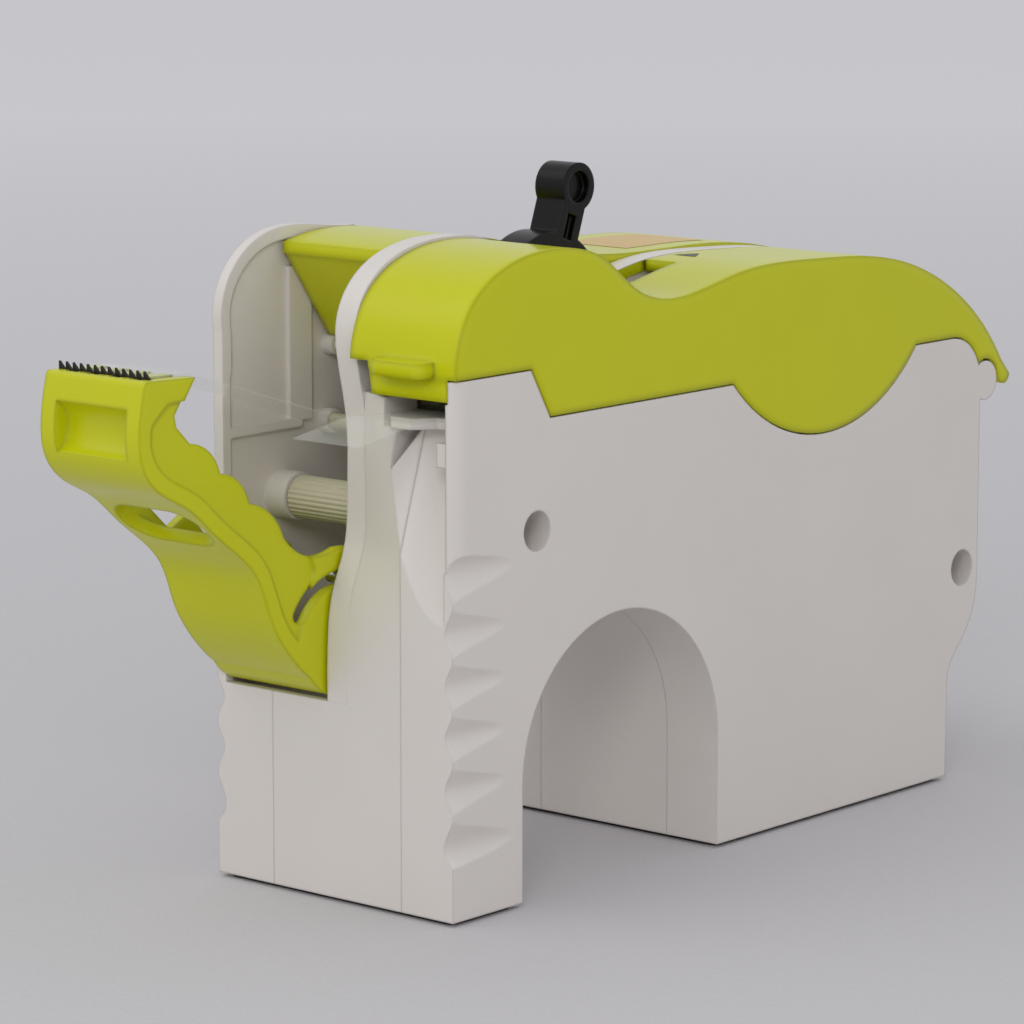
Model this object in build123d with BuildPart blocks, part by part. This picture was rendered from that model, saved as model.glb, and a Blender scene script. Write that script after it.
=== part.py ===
"""Two-bay desk tape dispenser in the shape of an elephant.

Frame: X across the body, +X on the right as seen from the front; Y from the trunk at -Y
to the tail at +Y; Z up. The origin is on the table under the middle of the whole part.
Lengths along the body are measured from the middle of the feet, feet_y behind the origin.
"""

import math
import os

from build123d import *

os.makedirs("parts", exist_ok=True)

# ---------------------------------------------------------------- driving sizes, mm
# Body
feet_y = 12.6
body_width = 56.5
body_front = -74.0
foot_rear = 74.0
body_rear = 83.9
pad_t = 0.8
wall = 2.0
side_wall = 1.5
seam_left = -14.5
seam_right = 16.2
spine_left = -1.2
spine_right = 3.5
seam_gap = 0.3
bay_lip_z = 36.3
rim_t = 2.3
band_in = 0.8
sky = 140.0

# Arch between the legs
arch_front = -55.3
arch_rear = 0.5
arch_top = 49.5

# Seam between the shells and the covers
seam_z = 86.7
brow_z = 95.6
brow_rear = -53.1
brow_foot = -47.9
ear_centre = (32.6, 113.0)
ear_r = 38.6
rump_z = 88.1
rump_centre = (74.4, 78.7)
head_rear = (-39.2, 116.2)
head_foot = -33.6
face_z = 91.7

# Cover hinge
hinge = (85.6, 78.7)
knuckle_r = 3.9
knuckle_len = 5.35
hinge_pin_r = 1.5
spine_knuckle = (-5.0, 7.5)
tail_gap = 0.5
cover_skin = 2.0
skirt_t = 1.8

# Trunk arm
arm_pivot = (-69.65, 46.0)
arm_pin_r = 2.0
arm_left = -25.6
arm_width = 23.8
arm_wall = 2.0
barrel_r = 9.4
arm_slot_r = 11.8
arm_slot_w = 2.8
stop_pin_r = 1.2
stop_pin_deg = 88.0
arm_slot_end = 148.0
arm_press_deg = 6.0
platform_z = 97.8
tooth_pitch = 1.7
tooth_count = 13
tooth_h = 1.3
blade_t = 0.5

# Tape, rolls and films
roll_centre = (36.0, 64.0)
roll_r = 28.0
core_r = 12.7
core_t = 1.6
left_tape = (-22.5, -3.5)
right_tape = (11.0, 26.0)
roll_axle_r = 3.0
film_t = 0.2
film_gap = 0.1

# Ribbed guide roller and guide bars of the left bay
guide = (-58.3, 68.7)
guide_r = 3.9
guide_pin_r = 1.5
guide_boss_r = 4.4
guide_boss_end = -22.0
bar = (-46.5, 80.8)
bar_r = 1.5
tie = (-45.5, 94.8)
tie_r = 1.1

# Lever, gears and feed of the right bay
lever_pivot = (-26.85, 102.2)
lever_x = (4.2, 10.8)
lever_lean = 19.4
lever_reach = 23.0
lever_head_r = 4.4
lever_stem_w = 6.0
lever_disc_r = 14.2
lever_pin_r = 2.0
gear_module = 1.0
sector_teeth = 44
pinion_teeth = 14
backlash = 0.24
gear_x = (5.2, 9.2)
feed_r = 5.0
feed_shaft_r = 2.0
mouth_z = 88.4
pinch_r = 3.0
pinch_pin_r = 1.25
slot_y = (-37.2, 8.8)
slot_side = 0.35

# Fits
socket_deep = 2.0
running = 0.05
fit_gap = 0.4

# Screws
screw_r = 1.5
screw_head_r = 2.9
screw_head_h = 2.0
well_r = 3.6
boss_r = 4.9
right_screws = [(-51.4, 67.1), (78.6, 42.1)]
left_screws = [(-64.6, 16.0), (78.6, 42.1)]

# ---------------------------------------------------------------- worked-out sizes
half = body_width / 2
base_z = pad_t
arch_r = (arch_rear - arch_front) / 2
arch_y = (arch_rear + arch_front) / 2
spring_z = arch_top - arch_r
rump_r = rump_z - rump_centre[1]
left_inner = -half + side_wall
right_inner = half - wall
arm_right = arm_left + arm_width
arm_mid = (arm_left + arm_right) / 2
lever_mid = (lever_x[0] + lever_x[1]) / 2
sector_r = gear_module * sector_teeth / 2
pinion_r = gear_module * pinion_teeth / 2
film_z = mouth_z + film_gap
feed_z = film_z - film_gap - feed_r
feed_y = lever_pivot[0] - math.sqrt((sector_r + pinion_r) ** 2 - (lever_pivot[1] - feed_z) ** 2)
slot_left = lever_x[0] - slot_side
slot_right = lever_x[1] + slot_side
pinch_z = film_z + film_t + film_gap + pinch_r
blade_y = -114.4

# Crown of the covers, from the brow over the head, the valley and the rump to the tail
crown = [
    (-72.9, brow_z),
    (-72.1, 102.2),
    (-68.4, 108.8),
    (-57.4, 115.0),
    (-45.5, 116.3),
    (-33.5, 113.7),
    (-23.5, 106.9),
    (-15.5, 104.6),
    (6.0, 107.3),
    (30.6, 107.8),
    (54.6, 105.5),
    (76.4, 96.5),
    (90.9, 82.5),
]
crown_left = crown[:5] + [
    (-31.5, 114.9),
    (-17.5, 112.0),
    (5.4, 108.6),
    (32.5, 108.2),
    (54.6, 105.6),
    (76.4, 96.5),
    (90.9, 82.5),
]
head = [head_rear, (-52.4, 117.3), (-60.3, 117.1), (-67.0, 114.6), (-72.2, 109.4), (-74.0, 100.0)]


# ---------------------------------------------------------------- helpers
def side(x):
    """The plane across the body at x, whose own axes are Y and Z."""
    return Plane(origin=(x, feet_y, 0), x_dir=(0, 1, 0), z_dir=(1, 0, 0))


def level(z):
    """The level plane at height z, whose own axes are X and Y."""
    return Plane(origin=(0, feet_y, z), x_dir=(1, 0, 0), z_dir=(0, 0, 1))


def front_plane(y):
    """The upright plane across the body at y, facing back, whose own axes are X and Z."""
    return Plane(origin=(0, feet_y + y, 0), x_dir=(1, 0, 0), z_dir=(0, -1, 0))


def polar(centre, radius, degrees):
    """The point at an angle from +Y towards +Z on a circle in a side plane."""
    turn = math.radians(degrees)
    return (centre[0] + radius * math.cos(turn), centre[1] + radius * math.sin(turn))


def circles_meet(first, first_r, second, second_r):
    """The upper point where two circles at the same height cross."""
    span = second[0] - first[0]
    along = (first_r**2 - second_r**2 + span**2) / (2 * span)
    return (first[0] + along, first[1] + math.sqrt(first_r**2 - along**2))


def inset(points, depth):
    """A path's points moved square to it by depth, to the right of its direction."""
    moved = []
    for before, here, after in zip(points[:1] + points, points, points[1:] + points[-1:]):
        run_y, run_z = after[0] - before[0], after[1] - before[1]
        length = math.hypot(run_y, run_z)
        moved.append((here[0] + depth * run_z / length, here[1] - depth * run_y / length))
    return moved


def foot_line():
    """Front foot, arch, rear foot and haunch, from the front to the rear wall."""
    Polyline((body_front, base_z), (arch_front, base_z), (arch_front, spring_z))
    ThreePointArc((arch_front, spring_z), (arch_y, arch_top), (arch_rear, spring_z))
    Polyline((arch_rear, spring_z), (arch_rear, base_z), (foot_rear, base_z), (foot_rear + 0.2, 19.5))
    Bezier((foot_rear + 0.2, 19.5), (foot_rear + 0.4, 27.5), (body_rear, 26.5), (body_rear, 41.0))


def rump_line(gap, round_knuckle):
    """Knuckle, shoulder and ear, from the rear wall to the front end of the ear."""
    top = circles_meet(rump_centre, rump_r + gap, hinge, round_knuckle)
    ear = ear_r - gap
    rear_y = ear_centre[0] + math.sqrt(ear**2 - (ear_centre[1] - rump_z - gap) ** 2)
    front_y = ear_centre[0] - math.sqrt(ear**2 - (ear_centre[1] - seam_z - gap) ** 2)
    shoulder = polar(rump_centre, rump_r + gap, 55)
    ThreePointArc(top, shoulder, (rump_centre[0], rump_z + gap))
    Line((rump_centre[0], rump_z + gap), (rear_y, rump_z + gap))
    ThreePointArc((rear_y, rump_z + gap), (ear_centre[0], ear_centre[1] - ear), (front_y, seam_z + gap))
    return top, (front_y, seam_z + gap)


def body_outline(left_head):
    """The closed side outline of a shell; the left one carries the white head."""
    foot_line()
    rear_z = hinge[1] - math.sqrt(knuckle_r**2 - (hinge[0] - body_rear) ** 2)
    Line((body_rear, 41.0), (body_rear, rear_z))
    top, ear_front = rump_line(0, knuckle_r)
    ThreePointArc((body_rear, rear_z), (hinge[0] + knuckle_r, hinge[1]), top)
    if left_head:
        Polyline(ear_front, (head_foot, seam_z), head_rear)
        Spline(*head)
        Line(head[-1], (body_front, base_z))
    else:
        Polyline(
            ear_front,
            (brow_foot, seam_z),
            (brow_rear, brow_z),
            (body_front + 1.7, brow_z),
            (body_front + 3.6, face_z),
            (body_front, face_z),
            (body_front, base_z),
        )


def cavity_outline():
    """The inside of the body, open at the top."""
    inner_rear = body_rear - wall
    foot_z = base_z + wall
    Polyline((body_front + wall, foot_z), (arch_front - wall, foot_z), (arch_front - wall, spring_z))
    ThreePointArc(
        (arch_front - wall, spring_z), (arch_y, arch_top + wall), (arch_rear + wall, spring_z)
    )
    Polyline(
        (arch_rear + wall, spring_z),
        (arch_rear + wall, foot_z),
        (foot_rear - wall, foot_z),
        (foot_rear - wall, 20.5),
    )
    Bezier((foot_rear - wall, 20.5), (foot_rear - wall, 28.5), (inner_rear, 28.0), (inner_rear, 42.0))
    Polyline(
        (inner_rear, 42.0),
        (inner_rear, sky),
        (body_front + wall, sky),
        (body_front + wall, foot_z),
    )


def gear_outline(centre, teeth, first, last, phase):
    """Points of involute teeth number first to last, turned by phase degrees."""
    pitch_r = gear_module * teeth / 2
    base_r = pitch_r * math.cos(math.radians(20))
    tip_r = pitch_r + 0.85 * gear_module
    root_r = pitch_r - 1.15 * gear_module
    roll = math.tan(math.radians(20)) - math.radians(20)
    half_tooth = math.pi / (2 * teeth) - backlash / (2 * pitch_r) + roll

    def half_angle(radius):
        press = math.acos(min(1.0, base_r / radius))
        return half_tooth - (math.tan(press) - press)

    steps = [max(base_r, root_r) + (tip_r - max(base_r, root_r)) * i / 4 for i in range(5)]
    flank = [(radius, half_angle(radius)) for radius in steps]
    if root_r < base_r:
        flank.insert(0, (root_r, half_angle(base_r)))
    points = []
    for number in range(first, last + 1):
        middle = phase + 360.0 * number / teeth
        for radius, angle in flank:
            points.append(polar(centre, radius, middle - math.degrees(angle)))
        for radius, angle in reversed(flank):
            points.append(polar(centre, radius, middle + math.degrees(angle)))
    return points


def pin(centre, radius, x_from, x_to):
    """A round pin across the body, added to the part being built."""
    with BuildSketch(side(x_from)) as disc:
        with Locations(centre):
            Circle(radius)
    extrude(disc.sketch, amount=x_to - x_from)


def bore(centre, radius, x_from, x_to):
    """A round hole across the body, cut from the part being built."""
    with BuildSketch(side(x_from)) as disc:
        with Locations(centre):
            Circle(radius)
    extrude(disc.sketch, amount=x_to - x_from, mode=Mode.SUBTRACT)


def scallops(outward):
    """A wave of wrinkles down the front corner, deepest at the corner and fading rearwards."""
    lean = math.atan2(wrinkle_depth, wrinkle_length)
    run = (outward * math.sin(lean), math.cos(lean), 0)
    corner = (outward * half, feet_y + body_front, wrinkle_first_z)
    wave = [(-wrinkle_pitch / 2, outward * 0.02)]
    for number in range(wrinkle_count):
        wave.append((number * wrinkle_pitch, -outward * wrinkle_depth))
        wave.append(((number + 0.5) * wrinkle_pitch, outward * 0.02))
    clear = outward * 6.0
    with BuildSketch(Plane(origin=corner, x_dir=(0, 0, 1), z_dir=run)) as groove:
        with BuildLine():
            Spline(*wave)
            Polyline(wave[-1], (wave[-1][0], clear), (wave[0][0], clear), wave[0])
        make_face()
    extrude(groove.sketch, amount=wrinkle_length * 2, both=True, mode=Mode.SUBTRACT)


def round_corner(outward):
    """Rounds the upright front corner above the wrinkles."""
    centre_x = outward * (half - corner_r)
    with BuildSketch(level(corner_z)) as sliver:
        with Locations((outward * (half - corner_r / 2), body_front + corner_r / 2)):
            Rectangle(corner_r, corner_r)
        with Locations((centre_x, body_front + corner_r)):
            Circle(corner_r, mode=Mode.SUBTRACT)
    extrude(sliver.sketch, amount=sky - corner_z, mode=Mode.SUBTRACT)


corner_r = 4.0
corner_z = 62.5
wrinkle_count = 6
wrinkle_pitch = 9.2
wrinkle_first_z = 15.1
wrinkle_depth = 1.7
wrinkle_length = 14.0

# ---------------------------------------------------------------- left shell
with BuildPart() as left_shell:
    with BuildSketch(side(-half)):
        with BuildLine():
            body_outline(left_head=True)
        make_face()
    extrude(amount=seam_left + half)
    with BuildSketch(side(left_inner)):
        with BuildLine():
            cavity_outline()
        make_face()
    extrude(amount=seam_left - left_inner, mode=Mode.SUBTRACT)
    # The bay is open at the front above its lip, beside the rim.
    with BuildSketch(side(-half + rim_t)):
        with BuildLine():
            Polyline(
                (body_front - 1, bay_lip_z),
                (body_front + wall, bay_lip_z),
                (body_front + wall, sky),
                (body_front - 1, sky),
                close=True,
            )
        make_face()
    extrude(amount=seam_left + half - rim_t, mode=Mode.SUBTRACT)
    # The knuckle is only a short ear at the outer side.
    with BuildSketch(side(-half + knuckle_len)):
        with Locations(hinge):
            Circle(knuckle_r + tail_gap)
    extrude(amount=seam_left + half - knuckle_len, mode=Mode.SUBTRACT)
    bore(hinge, hinge_pin_r, -half + 1, seam_left)
    scallops(-1)
    # Ribs of the bay wall
    with BuildSketch(side(left_inner)):
        with Locations((-53.6, 95.8)):
            Rectangle(6.0, 28.4)
    extrude(amount=band_in)
    with BuildSketch(side(left_inner)):
        with Locations((-62.6, 81.3)):
            Rectangle(18.8, 1.8)
    extrude(amount=band_in)
    # Rim carried on round the head
    with BuildSketch(side(left_inner)):
        with BuildLine():
            outer = [(body_front, 92.0), *head[::-1]]
            inner = inset(head[::-1], 2.4)
            Line(outer[0], outer[1])
            Spline(*outer[1:])
            Line(outer[-1], inner[-1])
            Spline(*inner)
            Polyline(inner[0], (body_front + 2.4, 92.0), outer[0])
        make_face()
    extrude(amount=band_in)
    # Boss of the ribbed roller and sockets of the pins
    pin(guide, guide_boss_r, left_inner, guide_boss_end)
    bore(guide, guide_pin_r, left_inner, guide_boss_end)
    pin(arm_pivot, 5.0, left_inner, arm_left - fit_gap)
    bore(arm_pivot, arm_pin_r, left_inner, arm_left)
    for centre, radius in ((bar, bar_r), (tie, tie_r)):
        pin(centre, radius + 0.8, left_inner, left_inner + 2.4)
        bore(centre, radius, left_inner, left_inner + 2.4)
    bore(roll_centre, roll_axle_r, left_inner - 0.7, left_inner)
    # Screw wells
    for centre in left_screws:
        pin(centre, boss_r, left_inner, seam_left)
        bore(centre, well_r, -half, seam_left - wall)
        bore(centre, screw_r, seam_left - wall, seam_left)
left_shell.part.label = "left_shell"
export_step(left_shell.part, "parts/left_shell.step")

# ---------------------------------------------------------------- right shell
post_x = right_inner + 0.35
scoop_r = 16.0
scoop_foot = 58.0
scoop_deep = 9.0
scoop_back = body_front + scoop_deep + wall
mouth_left = 10.6
tongue_t = 2.0
tongue_z = mouth_z - tongue_t


def scoop_block():
    """Solid stock behind the front wall that the scoop is hollowed from."""
    Polyline(
        (body_front, scoop_foot - 4.0),
        (body_front + wall, scoop_foot - 4.0),
        (scoop_back, tongue_z - 6.0),
        (scoop_back, tongue_z),
        (body_front, tongue_z),
        close=True,
    )


def scoop_cut():
    """The smooth leaning scoop below the mouth, as far as the right post."""
    lean = math.atan2(scoop_deep, tongue_z - scoop_foot)
    foot = (right_inner, feet_y + body_front - scoop_r * math.cos(lean), scoop_foot)
    run = (0, math.sin(lean), math.cos(lean))
    with BuildSketch(Plane(origin=foot, x_dir=(1, 0, 0), z_dir=run)) as hollow:
        Circle(scoop_r)
        with Locations((-scoop_r, 0)):
            Rectangle(2 * scoop_r, 2 * scoop_r, mode=Mode.INTERSECT)
    extrude(hollow.sketch, amount=60, both=True, mode=Mode.SUBTRACT)


with BuildPart() as right_shell:
    with BuildSketch(side(seam_right)):
        with BuildLine():
            body_outline(left_head=False)
        make_face()
    extrude(amount=half - seam_right)
    with BuildSketch(side(seam_right)):
        with BuildLine():
            cavity_outline()
        make_face()
    extrude(amount=right_inner - seam_right, mode=Mode.SUBTRACT)
    # Mouth above the tongue
    with BuildSketch(side(seam_right)):
        with BuildLine():
            Polyline(
                (body_front - 1, tongue_z),
                (body_front + wall, tongue_z),
                (body_front + wall, sky),
                (body_front - 1, sky),
                close=True,
            )
        make_face()
    extrude(amount=right_inner - seam_right, mode=Mode.SUBTRACT)
    # The knuckle is only a short ear at the outer side.
    with BuildSketch(side(seam_right)):
        with Locations(hinge):
            Circle(knuckle_r + tail_gap)
    extrude(amount=half - knuckle_len - seam_right, mode=Mode.SUBTRACT)
    bore(hinge, hinge_pin_r, seam_right, half - 1)
    # The post stands up to the brow beside the cover's face.
    with BuildSketch(side(post_x)):
        with BuildLine():
            Polyline(
                (body_front, face_z - 2.0),
                (body_front, brow_z),
                (body_front + corner_r, brow_z),
                (body_front + corner_r, face_z - 2.0),
                close=True,
            )
        make_face()
    extrude(amount=half - post_x)
    # Solid cheek of the scoop
    with BuildSketch(side(seam_right)):
        with BuildLine():
            scoop_block()
        make_face()
    extrude(amount=right_inner - seam_right)
    scoop_cut()
    with BuildSketch(level(80.6)):
        with Locations((right_inner - 1.2, body_front + 2.6)):
            Rectangle(2.4, 3.2)
    extrude(amount=4.2)
    round_corner(1)
    scallops(1)
    bore(roll_centre, roll_axle_r, right_inner, right_inner + 1.0)
    bore((feed_y, feed_z), feed_shaft_r + running, right_inner, right_inner + 1.2)
    for centre in right_screws:
        pin(centre, boss_r, seam_right, right_inner)
        bore(centre, well_r, seam_right + wall, half)
        bore(centre, screw_r, seam_right, seam_right + wall)
right_shell.part.label = "right_shell"
export_step(right_shell.part, "parts/right_shell.step")

# ---------------------------------------------------------------- middle frame
spine_front = [
    (body_front + 0.1, bay_lip_z),
    (body_front + 0.2, 47.3),
    (-72.4, 56.0),
    (-69.2, 64.0),
    (-68.5, 72.0),
    (-68.6, 86.0),
    (-70.8, 97.0),
    (-71.0, 104.0),
    (-67.4, 110.3),
    (-57.6, 115.5),
    (-46.0, 116.7),
]

neck_right = 16.0
neck_share = 0.95


def neck_outline(share):
    """Sliver between the front plane and the column's front at a share of its depth."""
    front = [(body_front - 0.01, bay_lip_z)]
    for y, z in spine_front[1:6]:
        front.append((body_front + (y - body_front) * share * neck_share, z))
    Spline(*front)
    top = front[-1]
    Polyline(top, (top[0], sky), (body_front - 1, sky), (body_front - 1, bay_lip_z), front[0])


with BuildPart() as middle_frame:
    with BuildSketch(side(seam_left)):
        with BuildLine():
            body_outline(left_head=False)
        make_face()
    extrude(amount=seam_right - seam_left)
    with BuildSketch(side(seam_left)):
        with BuildLine():
            cavity_outline()
        make_face()
    extrude(amount=seam_right - seam_left, mode=Mode.SUBTRACT)
    # The left bay and the scoop of the right one are open at the front.
    with BuildSketch(side(seam_left)):
        with BuildLine():
            Polyline(
                (body_front - 1, bay_lip_z),
                (body_front + wall, bay_lip_z),
                (body_front + wall, sky),
                (body_front - 1, sky),
                close=True,
            )
        make_face()
    extrude(amount=spine_right - seam_left, mode=Mode.SUBTRACT)
    # Stock for the scoop and the column left of the mouth
    with BuildSketch(side(spine_right)):
        with BuildLine():
            scoop_block()
        make_face()
    extrude(amount=seam_right - spine_right)
    with BuildSketch(side(spine_right)):
        with BuildLine():
            Polyline(
                (body_front, tongue_z),
                (scoop_back, tongue_z),
                (scoop_back, face_z - 0.3),
                (body_front, face_z - 0.3),
                close=True,
            )
        make_face()
    extrude(amount=mouth_left - spine_right)
    # Mouth above the tongue
    with BuildSketch(side(mouth_left)):
        with BuildLine():
            Polyline(
                (body_front - 1, tongue_z),
                (body_front + wall, tongue_z),
                (body_front + wall, sky),
                (body_front - 1, sky),
                close=True,
            )
        make_face()
    extrude(amount=seam_right - mouth_left, mode=Mode.SUBTRACT)
    scoop_cut()
    # Three-cornered pocket beside the scoop
    with BuildSketch(front_plane(body_front + 1.0)):
        with BuildLine():
            Polyline((13.0, tongue_z), (16.0, tongue_z), (13.0, tongue_z - 7.5), close=True)
        make_face()
    extrude(amount=-scoop_deep, mode=Mode.SUBTRACT)
    # Nothing of the front wall stands above the mouth.
    with BuildSketch(side(spine_right)):
        with BuildLine():
            Polyline(
                (body_front - 1, face_z - 0.3),
                (body_front + 2 * wall, face_z - 0.3),
                (body_front + 2 * wall, sky),
                (body_front - 1, sky),
                close=True,
            )
        make_face()
    extrude(amount=seam_right - spine_right, mode=Mode.SUBTRACT)
    # The column's front leans back towards the spine, like a neck.
    with BuildSketch(side(spine_right)):
        with BuildLine():
            neck_outline(1.0)
        make_face()
    with BuildSketch(side(neck_right)):
        with BuildLine():
            neck_outline(0.04)
        make_face()
    loft(mode=Mode.SUBTRACT)
    # Spine: the wall between the two bays, with its own front edge and crown
    with BuildSketch(side(spine_left)):
        with BuildLine():
            foot_line()
            rear_z = hinge[1] - math.sqrt(knuckle_r**2 - (hinge[0] - body_rear) ** 2)
            Line((body_rear, 41.0), (body_rear, rear_z))
            spine_rear = polar(hinge, knuckle_r, 140)
            ThreePointArc((body_rear, rear_z), (hinge[0] + knuckle_r, hinge[1]), spine_rear)
            spine_tail = (80.4, 92.6)
            Line(spine_rear, spine_tail)
            Spline(spine_tail, (76.2, 96.4), *crown[10:5:-1], (-33.2, 114.1), *spine_front[::-1])
            Line(spine_front[0], (body_front, base_z))
        make_face()
    extrude(amount=spine_right - spine_left)
    # Knuckle of the spine
    pin(hinge, knuckle_r, spine_knuckle[0], spine_knuckle[1])
    with BuildSketch(side(spine_knuckle[0])):
        with BuildLine():
            Polyline(
                (body_rear - wall, hinge[1] - 12),
                (body_rear, hinge[1] - 12),
                (hinge[0], hinge[1] - knuckle_r),
                (body_rear - wall, hinge[1]),
                close=True,
            )
        make_face()
    extrude(amount=spine_knuckle[1] - spine_knuckle[0])
    with BuildSketch(side(seam_left)):
        with Locations(hinge):
            Circle(knuckle_r + tail_gap)
    extrude(amount=spine_knuckle[0] - seam_left, mode=Mode.SUBTRACT)
    with BuildSketch(side(spine_knuckle[1])):
        with Locations(hinge):
            Circle(knuckle_r + tail_gap)
    extrude(amount=seam_right - spine_knuckle[1], mode=Mode.SUBTRACT)
    bore(hinge, hinge_pin_r, spine_knuckle[0], spine_knuckle[1])
    # Tongue under the mouth, with its gusset
    with BuildSketch(level(tongue_z)):
        with BuildLine():
            Polyline(
                (mouth_left - 1.0, scoop_back),
                (mouth_left - 1.0, body_front + 5.0),
                (mouth_left + 2.4, body_front + 1.4),
                (17.5, body_front + 1.4),
                (20.6, body_front + 5.0),
                (right_inner - fit_gap, body_front + 6.0),
                (right_inner - fit_gap, scoop_back),
                close=True,
            )
        make_face()
    extrude(amount=tongue_t)
    # Bores for pins, axles and screws
    bore(arm_pivot, arm_pin_r, spine_left, spine_left + socket_deep)
    bore(polar(arm_pivot, arm_slot_r, stop_pin_deg), stop_pin_r, spine_left, spine_left + socket_deep)
    bore(guide, guide_pin_r, spine_left, spine_left + socket_deep)
    bore(bar, bar_r, spine_left, spine_left + socket_deep)
    bore(tie, tie_r, spine_left, spine_left + socket_deep)
    bore(roll_centre, roll_axle_r, spine_left, spine_right)
    bore(lever_pivot, lever_pin_r, spine_right - socket_deep, spine_right)
    bore((feed_y, feed_z), feed_shaft_r + running, spine_right - socket_deep, spine_right)
    for centre in right_screws:
        pin(centre, boss_r, spine_right, seam_right)
        bore(centre, screw_r, seam_right - 9.0, seam_right)
    for centre in left_screws:
        pin(centre, boss_r, seam_left, spine_left)
        bore(centre, screw_r, seam_left, seam_left + 9.0)
middle_frame.part.label = "middle_frame"
export_step(middle_frame.part, "parts/middle_frame.step")

# ---------------------------------------------------------------- pads, ballast, screws
pad_inset = 1.4


def pad(y_from, y_to):
    """A flat pad under one foot."""
    with BuildSketch(level(0)) as sole:
        with Locations((0, (y_from + y_to) / 2)):
            RectangleRounded(body_width - 2 * pad_inset, y_to - y_from, 1.5)
    extrude(sole.sketch, amount=pad_t)


with BuildPart() as front_pad:
    pad(body_front + pad_inset, arch_front - pad_inset)
front_pad.part.label = "front_pad"
export_step(front_pad.part, "parts/front_pad.step")

with BuildPart() as rear_pad:
    pad(arch_rear + pad_inset, foot_rear - pad_inset)
rear_pad.part.label = "rear_pad"
export_step(rear_pad.part, "parts/rear_pad.step")

ballast_gap = 0.5
ballast_h = 15.0
ballast_left = (left_inner + 2.0, spine_left - ballast_gap)
ballast_right = (spine_right + ballast_gap, right_inner - 2.0)
with BuildPart() as ballast_weights:
    for x_from, x_to in (ballast_left, ballast_right):
        with BuildSketch(level(base_z + wall)):
            with Locations(((x_from + x_to) / 2, (arch_rear + foot_rear) / 2)):
                Rectangle(x_to - x_from, foot_rear - arch_rear - 2 * wall - 4.0)
        extrude(amount=ballast_h)
ballast_weights.part.label = "ballast_weights"
export_step(ballast_weights.part, "parts/ballast_weights.step")

with BuildPart() as case_screws:
    for centre in right_screws:
        pin(centre, screw_r, seam_right - 8.5, seam_right + wall)
        pin(centre, screw_head_r, seam_right + wall, seam_right + wall + screw_head_h)
    for centre in left_screws:
        pin(centre, screw_r, seam_left - wall, seam_left + 8.5)
        pin(centre, screw_head_r, seam_left - wall - screw_head_h, seam_left - wall)
case_screws.part.label = "case_screws"
export_step(case_screws.part, "parts/case_screws.step")

# ---------------------------------------------------------------- pins and bars
plain_pins = {
    "arm_pivot_pin": (arm_pivot, arm_pin_r, left_inner, spine_left + socket_deep),
    "arm_stop_pin": (
        polar(arm_pivot, arm_slot_r, stop_pin_deg),
        stop_pin_r,
        arm_right - arm_wall - 1.0,
        spine_left + socket_deep,
    ),
    "guide_roller_pin": (guide, guide_pin_r, left_inner, spine_left + socket_deep),
    "film_guide_bar": (bar, bar_r, left_inner, spine_left + socket_deep),
    "cross_rod": (tie, tie_r, left_inner, spine_left + socket_deep),
    "roll_axle": (roll_centre, roll_axle_r, left_inner - 0.7, right_inner + 1.0),
    "hinge_pin": (hinge, hinge_pin_r, -half + 1, half - 1),
    "lever_pin": (lever_pivot, lever_pin_r, spine_right - socket_deep, lever_x[1]),
}
for pin_name, (centre, radius, x_from, x_to) in plain_pins.items():
    with BuildPart() as plain_pin:
        pin(centre, radius, x_from, x_to)
    plain_pin.part.label = pin_name
    export_step(plain_pin.part, f"parts/{pin_name}.step")

with BuildPart() as lever_clip:
    with BuildSketch(side(lever_x[1] - 0.7)):
        with Locations(lever_pivot):
            Circle(lever_pin_r + 2.0)
            Circle(lever_pin_r, mode=Mode.SUBTRACT)
    extrude(amount=0.6)
lever_clip.part.label = "lever_clip"
export_step(lever_clip.part, "parts/lever_clip.step")

# ---------------------------------------------------------------- ribbed guide roller
flutes = 26
with BuildPart() as guide_roller:
    with BuildSketch(side(guide_boss_end + 0.3)):
        with Locations(guide):
            Circle(guide_r)
        with Locations(guide):
            with PolarLocations(guide_r + 0.12, flutes):
                Circle(0.3, mode=Mode.SUBTRACT)
        with Locations(guide):
            Circle(guide_pin_r + running, mode=Mode.SUBTRACT)
    extrude(amount=spine_left - 0.4 - guide_boss_end - 0.3)
guide_roller.part.label = "guide_roller"
export_step(guide_roller.part, "parts/guide_roller.step")

# ---------------------------------------------------------------- trunk arm
skin = [
    (-117.6, 96.9),
    (-118.9, 90.0),
    (-118.2, 83.2),
    (-114.4, 78.6),
    (-107.8, 75.0),
    (-100.6, 69.1),
    (-90.6, 60.3),
    (-87.4, 52.6),
    (-83.2, 46.2),
    polar(arm_pivot, barrel_r, 214),
]
grip = [
    (-105.5, 97.4),
    (-109.8, 91.2),
    (-109.4, 89.2),
]
grip_lumps = [(-106.2, 86.0), (-98.9, 79.9), (-91.8, 73.8), (-83.2, 66.6)]

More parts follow.
